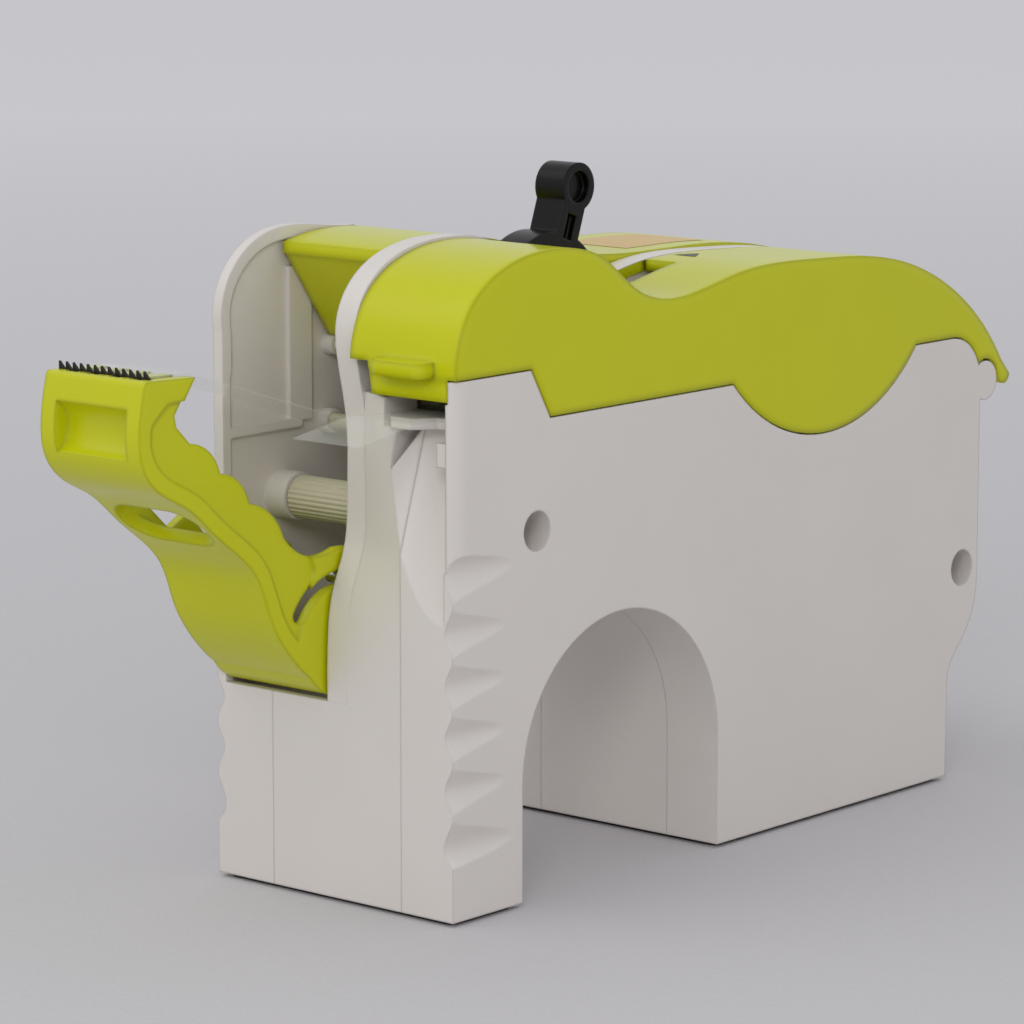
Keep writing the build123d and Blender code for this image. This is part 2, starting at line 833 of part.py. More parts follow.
with BuildPart() as trunk_arm:
    with BuildSketch(side(arm_left)):
        with BuildLine():
            Line((-116.4, platform_z), grip[0])
            Polyline(*grip)
            Line(grip[-1], grip_lumps[0])
            for here, there in zip(grip_lumps, grip_lumps[1:]):
                middle = ((here[0] + there[0]) / 2, (here[1] + there[1]) / 2)
                bulge = (middle[0] + 1.0, middle[1] + 1.15)
                ThreePointArc(here, bulge, there)
            ear_tip = polar(arm_pivot, 17.2, 92)
            Spline(grip_lumps[-1], (-77.6, 62.7), ear_tip)
            ThreePointArc(ear_tip, polar(arm_pivot, 17.2, 70), polar(arm_pivot, 17.2, 52))
            Line(polar(arm_pivot, 17.2, 52), polar(arm_pivot, barrel_r, 0))
            ThreePointArc(
                polar(arm_pivot, barrel_r, 0),
                polar(arm_pivot, barrel_r, -90),
                polar(arm_pivot, barrel_r, 214),
            )
            Spline(*skin[::-1])
            ThreePointArc(skin[0], (-117.3, 97.5), (-116.4, platform_z))
        make_face()
    extrude(amount=arm_width)
    # Hollow from behind, under the platform and inside the skin
    with BuildSketch(side(arm_left + arm_wall)):
        with BuildLine():
            hollow = [
                (-108.9, 83.0),
                (-104.0, 75.4),
                (-98.4, 70.6),
                (-88.6, 61.7),
                (-85.3, 53.4),
                (-81.4, 47.4),
            ]
            Spline(*hollow, polar(arm_pivot, barrel_r - arm_wall, 206))
            ThreePointArc(
                polar(arm_pivot, barrel_r - arm_wall, 206),
                polar(arm_pivot, barrel_r - arm_wall, 250),
                polar(arm_pivot, barrel_r - arm_wall, 306),
            )
            Polyline(
                polar(arm_pivot, barrel_r - arm_wall, 306),
                polar(arm_pivot, 30.0, 306),
                (-30.0, 40.0),
                (-60.0, 100.0),
                (-104.0, 92.0),
                (-108.9, 83.0),
            )
        make_face()
    extrude(amount=arm_width - 2 * arm_wall, mode=Mode.SUBTRACT)
    # Finger scoop in the forehead of the trunk
    with BuildSketch(side(arm_mid - 8.5)):
        with Locations((-120.6, 88.6)):
            Circle(4.9)
    extrude(amount=17.0, mode=Mode.SUBTRACT)
    # Finger window through the skin
    window_plane = Plane(origin=(arm_mid, feet_y - 101.5, 70.0), x_dir=(1, 0, 0), z_dir=(0, -0.65, -0.76))
    with BuildSketch(window_plane):
        RectangleRounded(20.6, 11.4, 5.6)
    extrude(amount=8.0, both=True, mode=Mode.SUBTRACT)
    # Sunk right side face inside the rim of the skin
    with BuildSketch(side(arm_right - 0.8)):
        with BuildLine():
            rim = inset([*skin[1:9]], -3.2)
            Spline(*rim)
            Polyline(
                rim[-1],
                (-76.0, 60.0),
                (-83.0, 80.0),
                (-100.0, 94.0),
                (-112.0, 93.5),
                rim[0],
            )
        make_face()
    extrude(amount=1.0, mode=Mode.SUBTRACT)
    # Cut-out of the left side wall behind the window
    with BuildSketch(side(arm_left)):
        with BuildLine():
            Polyline(
                (-103.0, 78.5),
                (-90.0, 66.5),
                (-80.0, 72.0),
                (-96.0, 88.0),
                close=True,
            )
        make_face()
    extrude(amount=arm_wall, mode=Mode.SUBTRACT)
    # Grooves along the platform
    for groove in range(4):
        with BuildSketch(level(platform_z)):
            with Locations((arm_left + 4.2 + groove * 5.2, -109.5)):
                Rectangle(2.6, 12.0)
        extrude(amount=-0.7, mode=Mode.SUBTRACT)
    # Slot for the blade
    with BuildSketch(side(arm_left + 0.2)):
        with Locations((blade_y, platform_z)):
            Rectangle(blade_t, 10.0)
    extrude(amount=tooth_pitch * tooth_count, mode=Mode.SUBTRACT)
    # Pivot bores and the curved slot that the stop pin runs in
    bore(arm_pivot, arm_pin_r + running, arm_left, arm_right)
    slot_low = arm_slot_end
    slot_high = stop_pin_deg - arm_press_deg
    with BuildSketch(side(arm_right - arm_wall)):
        with BuildLine():
            CenterArc(arm_pivot, arm_slot_r + arm_slot_w / 2, slot_high, slot_low - slot_high)
            CenterArc(arm_pivot, arm_slot_r - arm_slot_w / 2, slot_high, slot_low - slot_high)
            Line(
                polar(arm_pivot, arm_slot_r + arm_slot_w / 2, slot_high),
                polar(arm_pivot, arm_slot_r - arm_slot_w / 2, slot_high),
            )
            Line(
                polar(arm_pivot, arm_slot_r + arm_slot_w / 2, slot_low),
                polar(arm_pivot, arm_slot_r - arm_slot_w / 2, slot_low),
            )
        make_face()
        for end in (slot_high, slot_low):
            with Locations(polar(arm_pivot, arm_slot_r, end)):
                Circle(arm_slot_w / 2)
    extrude(amount=arm_wall, mode=Mode.SUBTRACT)
trunk_arm.part.label = "trunk_arm"
export_step(trunk_arm.part, "parts/trunk_arm.step")

blade_foot = platform_z - 5.0
blade_left = arm_left + 0.2
with BuildPart() as arm_blade:
    with BuildSketch(front_plane(blade_y + blade_t / 2)):
        with BuildLine():
            saw = [(blade_left, blade_foot)]
            for tooth in range(tooth_count):
                start = blade_left + tooth * tooth_pitch
                saw.append((start, platform_z + tooth_h))
                saw.append((start + tooth_pitch * 0.96, platform_z - 0.3))
            saw.append((blade_left + tooth_count * tooth_pitch, platform_z - 0.3))
            saw.append((blade_left + tooth_count * tooth_pitch, blade_foot))
            Polyline(*saw, close=True)
        make_face()
    extrude(amount=blade_t)
arm_blade.part.label = "arm_blade"
export_step(arm_blade.part, "parts/arm_blade.step")

# ---------------------------------------------------------------- tape rolls
for roll_name, (x_from, x_to) in {"left": left_tape, "right": right_tape}.items():
    with BuildPart() as hub:
        with BuildSketch(side(x_from)):
            with Locations(roll_centre):
                Circle(core_r)
                Circle(core_r - 2.0, mode=Mode.SUBTRACT)
                Circle(roll_axle_r + 2.0)
                for spoke in range(3):
                    with Locations(Location((0, 0, 0), (0, 0, 60 * spoke))):
                        Rectangle(2 * core_r - 2.0, 2.0)
                Circle(roll_axle_r + running, mode=Mode.SUBTRACT)
        extrude(amount=x_to - x_from)
    hub.part.label = f"{roll_name}_hub"
    export_step(hub.part, f"parts/{roll_name}_hub.step")
    for ring_name, inner, outer in (("core", core_r, core_r + core_t), ("roll", core_r + core_t, roll_r)):
        with BuildPart() as ring:
            with BuildSketch(side(x_from)):
                with Locations(roll_centre):
                    Circle(outer)
                    Circle(inner, mode=Mode.SUBTRACT)
            extrude(amount=x_to - x_from)
        ring.part.label = f"{roll_name}_tape_{ring_name}"
        export_step(ring.part, f"parts/{roll_name}_tape_{ring_name}.step")


# ---------------------------------------------------------------- films of tape
def film(x_range, path):
    """A strip of tape of film_t along a path in the side plane."""
    with BuildSketch(side(x_range[0])) as strip:
        with BuildLine():
            upper = inset(path, -film_t)
            Polyline(*path)
            Polyline(*upper)
            Line(path[0], upper[0])
            Line(path[-1], upper[-1])
        make_face()
    extrude(strip.sketch, amount=x_range[1] - x_range[0])


roll_clear = roll_r + film_gap
bar_under = (bar[0], bar[1] - bar_r - film_gap - film_t)
with BuildPart() as left_film:
    film(left_tape, [(-113.4, platform_z + film_gap), (-105.4, platform_z + film_gap), bar_under])
left_film.part.label = "left_film"
export_step(left_film.part, "parts/left_film.step")

with BuildPart() as left_film_feed:
    film(left_tape, [(bar_under[0] + 0.6, bar_under[1]), polar(roll_centre, roll_clear, 98.5)])
left_film_feed.part.label = "left_film_feed"
export_step(left_film_feed.part, "parts/left_film_feed.step")

stub_end = -95.0
with BuildPart() as right_film:
    film(
        right_tape,
        [
            (stub_end, film_z - 1.6),
            (stub_end + 14.0, film_z + 0.6),
            (body_front + 2.0, film_z),
            (feed_y, film_z),
            polar(roll_centre, roll_clear, 92.5),
        ],
    )
right_film.part.label = "right_film"
export_step(right_film.part, "parts/right_film.step")

# ---------------------------------------------------------------- feed lever with its gear sector
line_deg = math.degrees(math.atan2(feed_z - lever_pivot[1], feed_y - lever_pivot[0])) % 360
sector_pitch = 360.0 / sector_teeth
stem_angle = Location((lever_pivot[0], lever_pivot[1], 0), (0, 0, -lever_lean))
stem_plane_deg = 90.0 - lever_lean
with BuildPart() as feed_lever:
    with BuildSketch(side(lever_x[0])):
        with Locations(lever_pivot):
            Circle(lever_disc_r)
        with Locations(stem_angle):
            Rectangle(lever_stem_w, lever_reach, align=(Align.CENTER, Align.MIN))
        with Locations(polar(lever_pivot, lever_reach, stem_plane_deg)):
            Circle(lever_head_r)
    extrude(amount=lever_x[1] - lever_x[0])
    # The disc is cut away behind the stem, where the slot has to stay clear.
    with BuildSketch(side(gear_x[0])):
        with BuildLine():
            teeth = gear_outline(lever_pivot, sector_teeth, -2, 8, line_deg + sector_pitch / 2)
            Polyline(lever_pivot, *teeth, close=True)
        make_face()
    extrude(amount=gear_x[1] - gear_x[0])
    bore(lever_pivot, lever_pin_r + running, lever_x[0], lever_x[1])
    bore(lever_pivot, lever_pin_r + 2.4, lever_x[1] - 1.0, lever_x[1])
    # Pocket of the return spring
    with BuildSketch(side(lever_x[0])):
        with Locations(lever_pivot):
            Circle(6.0)
            Circle(lever_pin_r + 1.2, mode=Mode.SUBTRACT)
    extrude(amount=3.2, mode=Mode.SUBTRACT)
    # Blind eye in the head and sunk panel in the stem, on both faces
    for face_x, depth in ((lever_x[1], -1.4), (lever_x[0], 1.4)):
        with BuildSketch(side(face_x)):
            with Locations(polar(lever_pivot, lever_reach, stem_plane_deg)):
                Circle(lever_head_r - 1.5)
            with Locations(stem_angle):
                with Locations((0, lever_disc_r - 1.0)):
                    Rectangle(2.6, 4.6, align=(Align.CENTER, Align.MIN))
        extrude(amount=depth, mode=Mode.SUBTRACT)
feed_lever.part.label = "feed_lever"
export_step(feed_lever.part, "parts/feed_lever.step")

with BuildPart() as lever_spring:
    coil_x = spine_right + 0.45
    with BuildSketch(side(coil_x)):
        with Locations(lever_pivot):
            Circle(5.4)
            Circle(4.0, mode=Mode.SUBTRACT)
    extrude(amount=lever_x[0] + 2.8 - coil_x)
    with BuildSketch(side(spine_right)):
        with Locations((lever_pivot[0] + 4.7, lever_pivot[1] - 6.0)):
            Rectangle(1.0, 12.0)
    extrude(amount=coil_x - spine_right)
lever_spring.part.label = "lever_spring"
export_step(lever_spring.part, "parts/lever_spring.step")

# ---------------------------------------------------------------- pinion, shaft and rollers
feed_centre = (feed_y, feed_z)
with BuildPart() as drive_pinion:
    with BuildSketch(side(gear_x[0] - 0.8)):
        with BuildLine():
            teeth = gear_outline(feed_centre, pinion_teeth, 0, pinion_teeth - 1, line_deg + 180)
            Polyline(*teeth, close=True)
        make_face()
        with Locations(feed_centre):
            Circle(feed_shaft_r + running, mode=Mode.SUBTRACT)
    extrude(amount=gear_x[1] - gear_x[0] + 0.8)
drive_pinion.part.label = "drive_pinion"
export_step(drive_pinion.part, "parts/drive_pinion.step")

with BuildPart() as feed_shaft:
    pin(feed_centre, feed_shaft_r, spine_right - socket_deep + 0.2, right_inner + 1.0)
feed_shaft.part.label = "feed_shaft"
export_step(feed_shaft.part, "parts/feed_shaft.step")

with BuildPart() as clutch_ring:
    with BuildSketch(side(gear_x[1] + 0.3)):
        with Locations(feed_centre):
            Circle(feed_r - 0.8)
            with PolarLocations(feed_r - 0.8, 12):
                Circle(0.5, mode=Mode.SUBTRACT)
            Circle(feed_shaft_r, mode=Mode.SUBTRACT)
    extrude(amount=1.2)
clutch_ring.part.label = "clutch_ring"
export_step(clutch_ring.part, "parts/clutch_ring.step")

with BuildPart() as feed_roller:
    with BuildSketch(side(right_tape[0] + 0.4)):
        with Locations(feed_centre):
            Circle(feed_r)
            Circle(feed_shaft_r, mode=Mode.SUBTRACT)
    extrude(amount=right_tape[1] - right_tape[0] - 0.8)
feed_roller.part.label = "feed_roller"
export_step(feed_roller.part, "parts/feed_roller.step")

# ---------------------------------------------------------------- covers
tail_lip = (93.9, 79.3)


def cover_outline(crown_points, front_low):
    """The closed side outline of a cover's whole height."""
    Spline(*crown_points)
    Line(crown_points[-1], tail_lip)
    lip_inner = (hinge[0] + knuckle_r + tail_gap, hinge[1])
    ThreePointArc(tail_lip, (92.9, 77.7), (91.3, 77.6))
    Line((91.3, 77.6), lip_inner)
    top, ear_front = rump_line(seam_gap, knuckle_r + tail_gap)
    ThreePointArc(lip_inner, polar(hinge, knuckle_r + tail_gap, 70), top)
    Polyline(
        ear_front,
        (brow_foot + seam_gap, seam_z + seam_gap),
        (brow_rear + seam_gap, brow_z + seam_gap),
        (body_front + 1.3, brow_z + seam_gap),
        (body_front + 3.1, front_low),
        (crown_points[0][0], front_low),
        crown_points[0],
    )


def cover_hollow(crown_points):
    """The closed outline under a cover's skin, down past the hinge."""
    under = inset(crown_points, cover_skin)
    floor = hinge[1] - 12
    Spline(*under)
    Polyline(under[-1], (under[-1][0], floor), (under[0][0], floor), under[0])


def hinge_eye(x_from, x_to):
    """The cover's own knuckle round the hinge pin, with its web to the skin."""
    with BuildSketch(side(x_from)) as eye:
        with Locations(hinge):
            Circle(knuckle_r - 0.2)
        with BuildLine():
            Polyline(
                polar(hinge, knuckle_r - 0.2, 0),
                polar(hinge, knuckle_r + 2.2, 25),
                polar(hinge, knuckle_r + 3.6, 80),
                polar(hinge, knuckle_r + 1.0, 120),
                polar(hinge, knuckle_r - 0.2, 130),
                close=True,
            )
        make_face()
    extrude(eye.sketch, amount=x_to - x_from)


cover_left_x = spine_right + 0.25
with BuildPart() as right_cover:
    with BuildSketch(side(cover_left_x)):
        with BuildLine():
            cover_outline(crown, front_low=face_z + seam_gap)
        make_face()
    extrude(amount=half - cover_left_x)
    with BuildSketch(side(cover_left_x)):
        with BuildLine():
            cover_hollow(crown)
        make_face()
    extrude(amount=half - skirt_t - cover_left_x, mode=Mode.SUBTRACT)
    # Stepped left corner of the face beside the spine
    with BuildSketch(front_plane(body_front - 2)):
        with BuildLine():
            Polyline(
                (cover_left_x - 1, face_z - 2),
                (cover_left_x - 1, 97.7),
                (7.9, 97.7),
                (9.2, face_z - 2),
                close=True,
            )
        make_face()
    extrude(amount=-8, mode=Mode.SUBTRACT)
    # Pull tab
    with BuildSketch(level(96.1)):
        with Locations((17.4, body_front - 0.4)):
            RectangleRounded(12.0, 5.2, 2.0)
    extrude(amount=2.6)
    # Lever slot
    with BuildSketch(level(face_z)):
        with Locations(((slot_left + slot_right) / 2, (slot_y[0] + slot_y[1]) / 2)):
            Rectangle(slot_right - slot_left, slot_y[1] - slot_y[0])
    extrude(amount=40, mode=Mode.SUBTRACT)
    # Skirt along the slot
    with BuildSketch(side(slot_right)):
        with BuildLine():
            Polyline(
                (slot_y[0], 114.0),
                (-33.5, 112.7),
                (-23.5, 105.9),
                (-15.5, 103.6),
                (6.0, 106.3),
                (slot_y[1], 106.6),
                (slot_y[1], 99.5),
                (-15.5, 97.0),
                (slot_y[0], 104.0),
                close=True,
            )
        make_face()
    extrude(amount=1.2)
    # Clearance round the post of the shell
    with BuildSketch(side(post_x - seam_gap)):
        with BuildLine():
            Polyline(
                (body_front - 1, face_z - 2.0),
                (body_front - 1, brow_z + seam_gap),
                (body_front + corner_r + seam_gap, brow_z + seam_gap),
                (body_front + corner_r + seam_gap, face_z - 2.0),
                close=True,
            )
        make_face()
    extrude(amount=half - post_x + seam_gap, mode=Mode.SUBTRACT)
    # Cheeks that hold the pinch roller
    for cheek_x in (right_tape[0] + 0.2, right_inner - 1.8):
        with BuildSketch(side(cheek_x)):
            with BuildLine():
                Polyline(
                    (feed_y - 4.5, pinch_z - 2.2),
                    (feed_y + 4.5, pinch_z - 2.2),
                    (feed_y + 5.5, 115.4),
                    (feed_y - 5.5, 115.0),
                    close=True,
                )
            make_face()
        extrude(amount=1.2)
        bore((feed_y, pinch_z), pinch_pin_r, cheek_x, cheek_x + 1.2)
    hinge_eye(spine_knuckle[1] + 0.4, half - knuckle_len - 0.4)
    bore(hinge, hinge_pin_r + running, cover_left_x, half - knuckle_len)
right_cover.part.label = "right_cover"
export_step(right_cover.part, "parts/right_cover.step")

with BuildPart() as pinch_pin:
    pin((feed_y, pinch_z), pinch_pin_r, right_tape[0] + 0.2, right_inner - 0.6)
pinch_pin.part.label = "pinch_pin"
export_step(pinch_pin.part, "parts/pinch_pin.step")

with BuildPart() as pinch_roller:
    with BuildSketch(side(right_tape[0] + 1.8)):
        with Locations((feed_y, pinch_z)):
            Circle(pinch_r)
            Circle(pinch_pin_r + running, mode=Mode.SUBTRACT)
    extrude(amount=right_inner - 2.2 - right_tape[0] - 1.8)
pinch_roller.part.label = "pinch_roller"
export_step(pinch_roller.part, "parts/pinch_roller.step")

cover_right_x = spine_left - 0.25
cover_front_y = -58.5
head_cut_x = left_inner + band_in + 0.35
with BuildPart() as left_cover:
    with BuildSketch(side(-half)):
        with BuildLine():
            cover_outline(crown_left, front_low=face_z + seam_gap)
        make_face()
    extrude(amount=cover_right_x + half)
    with BuildSketch(side(-half + skirt_t)):
        with BuildLine():
            cover_hollow(crown_left)
        make_face()
    extrude(amount=cover_right_x + half - skirt_t, mode=Mode.SUBTRACT)
    # Open at the front for the trunk, and narrower beside the white head
    with BuildSketch(side(-half)):
        with BuildLine():
            Polyline(
                (body_front - 2, 80),
                (cover_front_y, 80),
                (cover_front_y, sky),
                (body_front - 2, sky),
                close=True,
            )
        make_face()
    extrude(amount=body_width, mode=Mode.SUBTRACT)
    with BuildSketch(side(-half)):
        with BuildLine():
            Polyline(
                (body_front - 2, 80),
                (head_foot + seam_gap, 80),
                (head_foot + seam_gap, seam_z),
                (head_rear[0] + seam_gap, head_rear[1]),
                (head_rear[0] + seam_gap, sky),
                (body_front - 2, sky),
                close=True,
            )
        make_face()
    extrude(amount=head_cut_x + half, mode=Mode.SUBTRACT)
    # Slanted guard behind the folded blade
    with BuildSketch(side(head_cut_x)):
        with BuildLine():
            Polyline(
                (cover_front_y, 113.4),
                (cover_front_y + 2.4, 114.0),
                (-44.6, 98.0),
                (-46.6, 96.6),
                close=True,
            )
        make_face()
    extrude(amount=cover_right_x - head_cut_x)
    hinge_eye(-half + knuckle_len + 0.4, spine_knuckle[0] - 0.4)
    bore(hinge, hinge_pin_r + running, -half + knuckle_len, cover_right_x)
left_cover.part.label = "left_cover"
export_step(left_cover.part, "parts/left_cover.step")
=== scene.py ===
"""Looks of the two-bay elephant tape dispenser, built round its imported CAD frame."""

import math

import bpy
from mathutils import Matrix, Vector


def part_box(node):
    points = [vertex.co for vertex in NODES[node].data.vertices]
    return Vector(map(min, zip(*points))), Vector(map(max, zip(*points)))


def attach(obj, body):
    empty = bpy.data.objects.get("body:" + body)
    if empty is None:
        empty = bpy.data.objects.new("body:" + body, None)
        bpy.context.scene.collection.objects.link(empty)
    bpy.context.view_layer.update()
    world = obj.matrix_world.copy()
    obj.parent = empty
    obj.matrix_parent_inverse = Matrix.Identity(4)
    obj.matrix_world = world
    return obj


bl_info = {
    "name": "Elephant Tape Dispenser",
    "version": (1, 0, 0),
    "blender": (4, 5, 0),
    "location": "View3D > Sidebar > Tape Dispenser",
    "description": "Dresses the packed tape dispenser and sets up its studio",
    "category": "Object",
}

MM = 0.001

# Reflection strength, roughness and waviness of the plastics
PLAIN_GLOSS = 0.5
COVER_GLOSS = 0.3
ARM_GLOSS = 0.35
LEVER_GLOSS = 0.25
WHITE_ROUGHNESS = 0.36
COVER_ROUGHNESS = 0.24
ARM_ROUGHNESS = 0.26
LEVER_ROUGHNESS = 0.3
CREAM_ROUGHNESS = 0.42
WHITE_WAVINESS = 0.05
GREEN_WAVINESS = 0.03
LEVER_WAVINESS = 0.03
CREAM_WAVINESS = 0.04

# Edge rounding of the smaller pieces
ARM_EDGE_SHARE = 0.5
LEVER_EDGE = 0.6 * MM
CREAM_EDGE = 0.4 * MM

# Plain finishes: colour, roughness, metallic
RUBBER = ((0.02, 0.02, 0.022, 1.0), 0.7)
IRON = ((0.08, 0.08, 0.08, 1.0), 0.6, 1.0)
STEEL = ((0.5, 0.5, 0.5, 1.0), 0.3, 1.0)
BLADE = ((0.035, 0.034, 0.033, 1.0), 0.38, 0.8)
CARD = ((0.42, 0.32, 0.2, 1.0), 0.8)
TAPE = ((0.62, 0.58, 0.46, 1.0), 0.25)
FILM = ((0.85, 0.86, 0.84, 1.0), 0.06)
PAPER = ((0.72, 0.50, 0.20, 1.0), 0.45)
INK = ((0.03, 0.05, 0.02, 1.0), 0.4)
CLOTH = ((0.70, 0.69, 0.71, 1.0), 0.9)
BLACK = (0.0015, 0.0015, 0.0016, 1.0)
TAPE_DARK = (0.55, 0.5, 0.38, 1.0)
TAPE_PALE = (0.74, 0.7, 0.58, 1.0)
FILM_ALPHA = 0.15

# Moulding pattern: samples of the rounded edge, and the faint ripple
EDGE_SAMPLES = 6
RIPPLE_SCALE = 55.0
RIPPLE_DETAIL = 2.0
RIPPLE_HEIGHT = 0.4 * MM
TONE_RANGE = (0.97, 1.03)

# Rings of the wound tape
ROLL_CENTRE = (0.0, 0.0486, 0.064)
RING_SCALE = 2600.0

# Label and mark: cuts that let them follow the cover, and the height they drop from
LABEL_CUTS = (8, 40)
MARK_CORNERS = 3
MARK_RADIUS = 0.6
MARK_CUTS = 6
DROP = 2.0 * MM

# Weave of the floor cloth, and the span over which painted light brightens the far floor, in
# metres from the middle
WEAVE_SCALE = 900.0
WEAVE_DETAIL = 3.0
WEAVE_STRENGTH = 0.25
WEAVE_HEIGHT = 0.5 * MM
FAR_LIGHT_FROM = 0.2
FAR_LIGHT_TO = 1.6

# Lights: place in metres, turn in degrees, size in metres
KEY = ((-0.5, -0.7, 1.2), (37.0, 0.0, -35.5), 1.2)
FILL = ((0.42, -0.62, 0.42), (64.0, 0.0, 34.0), 0.22)
SKY = (0.97, 0.98, 1.0, 1.0)
SENSOR_WIDTH = 36.0
CLIP = (0.01, 40.0)

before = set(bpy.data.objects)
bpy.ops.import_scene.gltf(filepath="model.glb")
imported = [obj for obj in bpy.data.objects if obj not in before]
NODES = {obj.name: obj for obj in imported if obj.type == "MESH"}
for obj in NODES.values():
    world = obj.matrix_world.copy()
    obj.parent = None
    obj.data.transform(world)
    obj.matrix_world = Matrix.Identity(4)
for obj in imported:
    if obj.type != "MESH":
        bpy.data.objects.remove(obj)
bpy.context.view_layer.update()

WHITE_NODES = ("left_shell", "right_shell", "middle_frame")
CREAM_NODES = (
    "guide_roller",
    "film_guide_bar",
    "cross_rod",
    "roll_axle",
    "left_hub",
    "right_hub",
    "drive_pinion",
)
STEEL_NODES = (
    "case_screws",
    "arm_pivot_pin",
    "arm_stop_pin",
    "guide_roller_pin",
    "hinge_pin",
    "lever_pin",
    "lever_clip",
    "lever_spring",
    "feed_shaft",
    "clutch_ring",
    "pinch_pin",
)
RUBBER_NODES = ("front_pad", "rear_pad", "feed_roller", "pinch_roller")


# ------------------------------------------------------------------ settings
class TDFinishSettings(bpy.types.PropertyGroup):
    """Colours and gloss of the mouldings."""

    white: bpy.props.FloatVectorProperty(
        name="White plastic",
        description="Colour of the body shells",
        subtype="COLOR",
        size=4,
        min=0.0,
        max=1.0,
        default=(0.76, 0.715, 0.675, 1.0),
    )
    green: bpy.props.FloatVectorProperty(
        name="Green plastic",
        description="Colour of the covers and the trunk arm",
        subtype="COLOR",
        size=4,
        min=0.0,
        max=1.0,
        default=(0.60, 0.62, 0.004, 1.0),
    )
    cream: bpy.props.FloatVectorProperty(
        name="Cream plastic",
        description="Colour of rollers, hubs and bars",
        subtype="COLOR",
        size=4,
        min=0.0,
        max=1.0,
        default=(0.66, 0.62, 0.46, 1.0),
    )
    white_edge: bpy.props.FloatProperty(
        name="White edge rounding",
        description="Radius that the body's edges are rounded by",
        unit="LENGTH",
        default=0.6 * MM,
        min=0.0,
    )
    green_edge: bpy.props.FloatProperty(
        name="Green edge rounding",
        description="Radius that the covers' and arm's edges are rounded by",
        unit="LENGTH",
        default=2.4 * MM,
        min=0.0,
    )


class TDLabelSettings(bpy.types.PropertyGroup):
    """Blank label and arrow mark on the covers."""

    label_centre: bpy.props.FloatVectorProperty(
        name="Label centre",
        description="Middle of the label seen from above",
        subtype="TRANSLATION",
        unit="LENGTH",
        size=2,
        default=(-15.0 * MM, 41.0 * MM),
    )
    label_size: bpy.props.FloatVectorProperty(
        name="Label size",
        description="Width and length of the label",
        subtype="XYZ",
        unit="LENGTH",
        size=2,
        default=(16.0 * MM, 24.0 * MM),
    )
    lift: bpy.props.FloatProperty(
        name="Lift",
        description="How far label and mark stand off the cover",
        unit="LENGTH",
        default=0.06 * MM,
        min=0.0,
    )
    mark_centre: bpy.props.FloatVectorProperty(
        name="Mark centre",
        description="Middle of the arrow mark seen from above",
        subtype="TRANSLATION",
        unit="LENGTH",
        size=2,
        default=(7.9 * MM, 29.5 * MM),
    )
    mark_size: bpy.props.FloatProperty(
        name="Mark size",
        description="Length of the arrow mark",
        unit="LENGTH",
        default=5.0 * MM,
        min=0.0,
    )


class TDStageSettings(bpy.types.PropertyGroup):
    """Floor, light and camera."""

    floor_size: bpy.props.FloatProperty(
        name="Floor size",
        description="Side of the square floor",
        unit="LENGTH",
        default=30.0,
        min=1.0,
    )
    floor_near: bpy.props.FloatVectorProperty(
        name="Floor near",
        description="Colour of the floor round the dispenser",
        subtype="COLOR",
        size=4,
        min=0.0,
        max=1.0,
        default=(0.60, 0.585, 0.605, 1.0),
    )
    # Painted light: the far floor gets a lighter colour to stand in for how the light
    # brightens it
    floor_far_painted_light: bpy.props.FloatVectorProperty(
        name="Floor far",
        description="Colour of the floor far behind",
        subtype="COLOR",
        size=4,
        min=0.0,
        max=1.0,
        default=(0.83, 0.82, 0.85, 1.0),
    )
    sky_strength: bpy.props.FloatProperty(
        name="Ambient light",
        description="Strength of the even light from all round",
        default=0.68,
        min=0.0,
    )
    key_power: bpy.props.FloatProperty(
        name="Key light",
        description="Power of the large soft light",
        unit="POWER",
        default=2.6,
        min=0.0,
    )
    fill_power: bpy.props.FloatProperty(
        name="Fill light",
        description="Power of the small light near the camera",
        unit="POWER",
        default=0.9,
        min=0.0,
    )
    camera_place: bpy.props.FloatVectorProperty(
        name="Camera place",
        description="Where the camera stands",
        subtype="TRANSLATION",
        unit="LENGTH",
        size=3,
        default=(528.3 * MM, -631.1 * MM, 205.8 * MM),
    )
    azimuth: bpy.props.FloatProperty(
        name="Azimuth",
        description="Turn of the camera about the vertical",
        subtype="ANGLE",
        default=math.radians(40.5),
    )
    pitch: bpy.props.FloatProperty(
        name="Pitch",
        description="How far the camera looks down",
        subtype="ANGLE",
        default=math.radians(9.9),
    )
    lens: bpy.props.FloatProperty(
        name="Lens",
        description="Focal length for a 36 mm sensor",
        default=158.2,
        min=10.0,
    )


# ------------------------------------------------------------------ node helpers
def new_group(name, outputs, inputs):
    """A fresh node group with the given output and input sockets."""
    group = bpy.data.node_groups.new(name, "ShaderNodeTree")
    for socket, kind, value in inputs:
        made = group.interface.new_socket(socket, in_out="INPUT", socket_type=kind)
        made.default_value = value
    for socket, kind in outputs:
        group.interface.new_socket(socket, in_out="OUTPUT", socket_type=kind)
    return group


